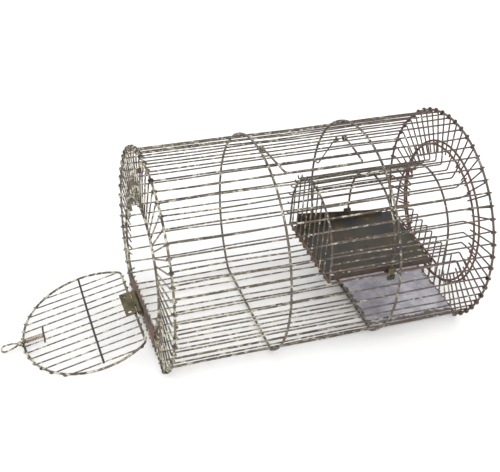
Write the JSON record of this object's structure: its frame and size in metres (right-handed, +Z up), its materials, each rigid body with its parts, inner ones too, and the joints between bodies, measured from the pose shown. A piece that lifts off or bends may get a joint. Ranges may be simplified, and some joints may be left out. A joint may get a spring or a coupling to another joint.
{
  "type": "live catch trap",
  "caption": "Round wire cage trap with a flat base, a hinged end door with a sprung latch, an entrance tunnel and a tipping platform.",
  "frame": {"origin": "on the ground, under the middle of the cage between its two end hoops", "axes": "+X along the cage towards the tunnel entrance, -X towards the hinged door, +Y across the cage, +Z up"},
  "size_m": [0.4726, 0.2256, 0.201],
  "materials": {
    "dark_wire": "dark, weathered",
    "rusty_wire": "rusty",
    "rusty_strip": "rusty",
    "plated_fitting": "dull yellow plating",
    "bright_wire": "worn bright",
    "galvanised_sheet": "dull zinc",
    "dark_sheet": "dark, rust at the edges",
    "spring_wire": "lightly rusted",
    "iron_block": "rough"
  },
  "bodies": {
    "cage": {"door_end_hoop": "dark_wire", "middle_hoop_1": "dark_wire", "middle_hoop_2": "dark_wire", "entrance_end_hoop": "dark_wire", "opening_ring": "dark_wire", "entrance_ring_outer": "rusty_wire", "entrance_ring_inner": "rusty_wire", "cage_bars_far": "dark_wire", "cage_bars_top": "dark_wire", "cage_bars_near": "dark_wire", "cage_bars_floor": "dark_wire", "door_end_spokes": "dark_wire", "entrance_end_spokes": "dark_wire", "door_end_wraps": "dark_wire", "entrance_end_wraps": "dark_wire", "sill_strip": "rusty_strip", "hinge_leaf_cage": "plated_fitting", "hinge_pin": "plated_fitting", "door_catch": "bright_wire", "tunnel_arch_inner": "dark_wire", "tunnel_arch_middle": "dark_wire", "tunnel_arch_outer": "dark_wire", "tunnel_roof_bars": "dark_wire", "tunnel_mouth_spikes": "rusty_wire", "tunnel_end_bars": "dark_wire", "tunnel_rails": "rusty_wire", "tunnel_end_chord": "rusty_wire", "platform_stop_bar": "rusty_wire", "entrance_sill": "rusty_wire", "tunnel_floor_bars": "dark_wire", "platform_brackets": "plated_fitting", "floor_sheet": "galvanised_sheet"},
    "door": {"door_ring": "dark_wire", "door_bars": "dark_wire", "door_crossbar": "dark_wire", "hinge_leaf_door": "plated_fitting", "latch_guide": "plated_fitting", "latch_spring": "spring_wire"},
    "latch": {"latch_loop": "dark_wire", "latch_tee": "dark_wire"},
    "platform": {"platform_plate": "dark_sheet", "platform_axle": "plated_fitting", "counterweight": "iron_block"},
    "handle": {"carry_handle": "dark_wire"},
    "hook": {"bait_hook": "dark_wire"}
  },
  "joints": [
    {"name": "door_hinge", "type": "hinge", "parent": "cage", "child": "door", "pos_m": [-0.1699, 0, 0.034], "axis": [0, 1, 0], "range_deg": [0, 103.5]},
    {"name": "latch_slide", "type": "slide", "parent": "door", "child": "latch", "axis": [-0.9723, 0, -0.2337], "range_m": [0, 0.0085], "stiffness_N_per_m": 150, "springref_m": -0.003, "deforming": ["latch_spring"]},
    {"name": "platform_tilt", "type": "hinge", "parent": "cage", "child": "platform", "pos_m": [0.08204, 0, 0.0601], "axis": [0, -1, 0], "range_deg": [0, 40]},
    {"name": "handle_swing", "type": "hinge", "parent": "cage", "child": "handle", "pos_m": [0, 0, 0.1959], "axis": [-1, 0, 0], "range_deg": [0, 165]},
    {"name": "bait_hook_swing", "type": "hinge", "parent": "cage", "child": "hook", "pos_m": [0.03, 0, 0.1959], "axis": [1, 0, 0], "range_deg": [-40, 40]}
  ]
}
